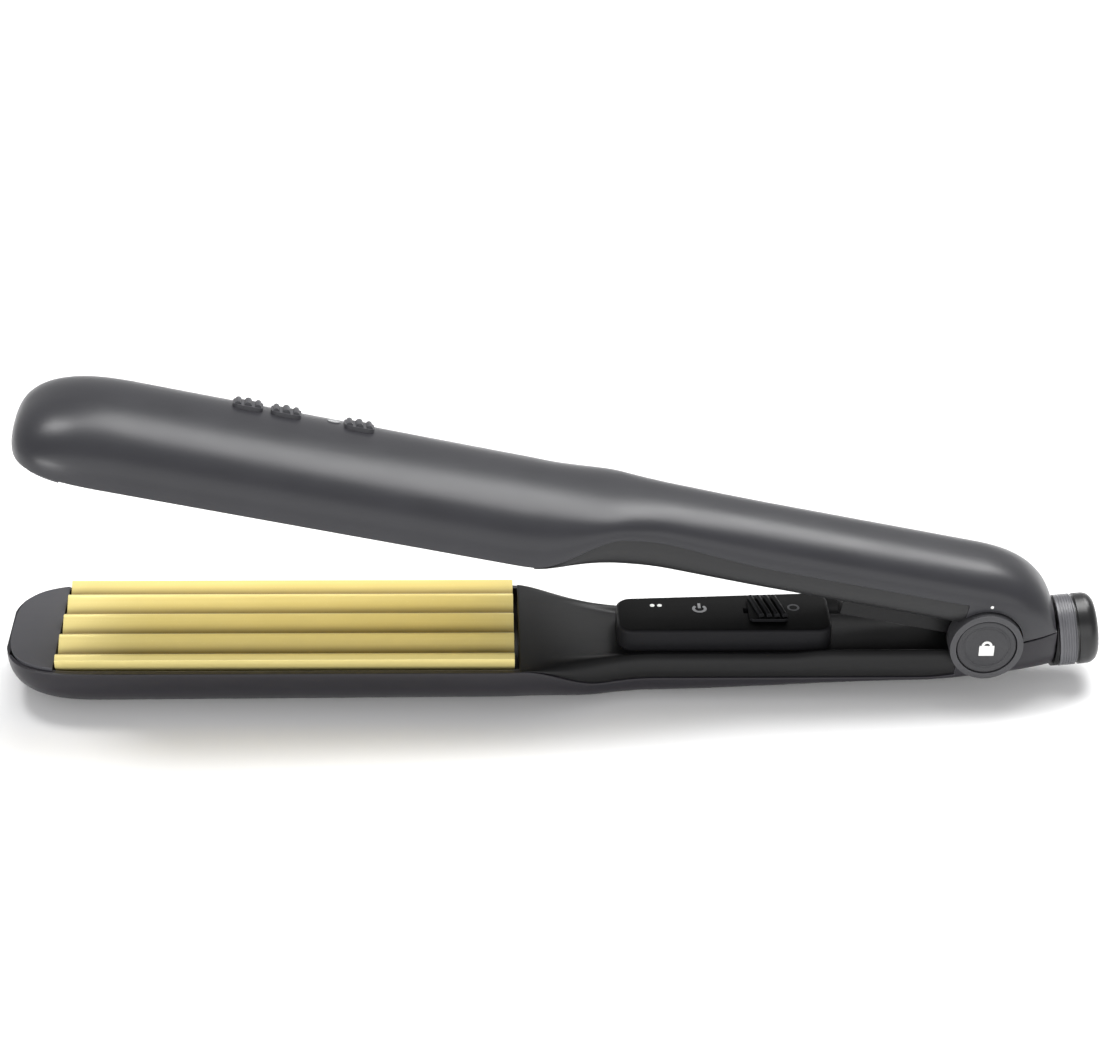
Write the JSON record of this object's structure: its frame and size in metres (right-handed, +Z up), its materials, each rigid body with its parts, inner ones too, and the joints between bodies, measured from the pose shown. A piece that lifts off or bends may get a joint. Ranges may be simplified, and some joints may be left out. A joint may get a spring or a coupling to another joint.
{
  "type": "hair crimper",
  "caption": "Hair crimper with two hinged arms, corrugated hot plates, a push-through hinge lock, a slide switch and a swivelling cord collar",
  "frame": {"origin": "middle of the footprint, at the height of the surface that the closed lower arm lies on", "axes": "X runs along the lower arm from the tip at -X to the cord collar at +X, Y is across and parallel to the hinge axis, Z is up"},
  "size_m": [0.2792, 0.0424, 0.0826],
  "materials": {
    "body_plastic": "soft-touch charcoal, satin",
    "handle_plastic": "near-black, satin",
    "trim_plastic": "heat-resistant grey, matt",
    "plate": "gold ceramic-tourmaline coating, semi-gloss",
    "dark_plastic": "moulded, matt",
    "ceramic": "glazed ceramic",
    "steel": "plain",
    "copper": "plain",
    "wire": "silicone sleeve",
    "washer": "acetal",
    "panel_plastic": "fine spark texture",
    "board": "solder mask",
    "light": "clear moulded lens",
    "rubber": "ribbed, matt",
    "print": "pad print",
    "collar_plastic": "moulded, satin"
  },
  "bodies": {
    "lower_arm": {"lower_shell": "body_plastic", "lower_handle_cover": "handle_plastic", "lower_tip_pad": "trim_plastic", "lower_crimp_plate": "plate", "lower_jaw_tray": "dark_plastic", "lower_heater": "ceramic", "lower_heater_clips": "steel", "lower_thermistor": "copper", "lower_leads": "wire", "lower_screws": "steel", "screw_sleeves": "copper", "hinge_yoke": "handle_plastic", "axle_tube": "steel", "hinge_washers": "washer", "hinge_spring": "steel", "tail_stop_plate": "dark_plastic", "swivel_socket": "handle_plastic", "contact_brushes": "copper", "control_panel": "panel_plastic", "control_board": "board", "switch_body": "dark_plastic", "status_lights": "light", "thermal_fuse": "ceramic"},
    "upper_arm": {"upper_shell": "body_plastic", "upper_handle_cover": "handle_plastic", "upper_tip_pad": "trim_plastic", "upper_crimp_plate": "plate", "upper_jaw_tray": "dark_plastic", "upper_heater": "ceramic", "upper_heater_clips": "steel", "upper_thermistor": "copper", "upper_leads": "wire", "upper_screws": "steel", "hinge_tongue": "handle_plastic", "hinge_web": "handle_plastic", "heel_stop_plate": "dark_plastic", "grip_pad_front": "rubber", "grip_pad_middle": "rubber", "grip_pad_rear": "rubber", "indicator_lens": "light"},
    "hinge_lock": {"lock_button": "panel_plastic", "lock_pin": "steel", "lock_rear_cap": "panel_plastic", "lock_symbol": "print"},
    "power_switch": {"switch_slider": "panel_plastic"},
    "cord_swivel": {"swivel_collar": "collar_plastic", "swivel_core": "washer", "contact_rings": "copper"}
  },
  "joints": [
    {"name": "arm_hinge", "type": "hinge", "parent": "lower_arm", "child": "upper_arm", "pos_m": [0.1084, 0, 0.0172], "axis": [0, -1, 0], "range_deg": [0, 12.85], "stiffness_Nm_per_rad": 0.4, "springref_deg": -51.57},
    {"name": "lock_slide", "type": "slide", "parent": "lower_arm", "child": "hinge_lock", "axis": [0, 1, 0], "range_m": [0, 0.0022]},
    {"name": "switch_slide", "type": "slide", "parent": "lower_arm", "child": "power_switch", "axis": [-1, 0, 0], "range_m": [0, 0.004]},
    {"name": "cord_swivel_turn", "type": "hinge", "parent": "lower_arm", "child": "cord_swivel", "pos_m": [0.1288, 0, 0.013], "axis": [0.9945, 0, 0.1045], "continuous": true}
  ]
}
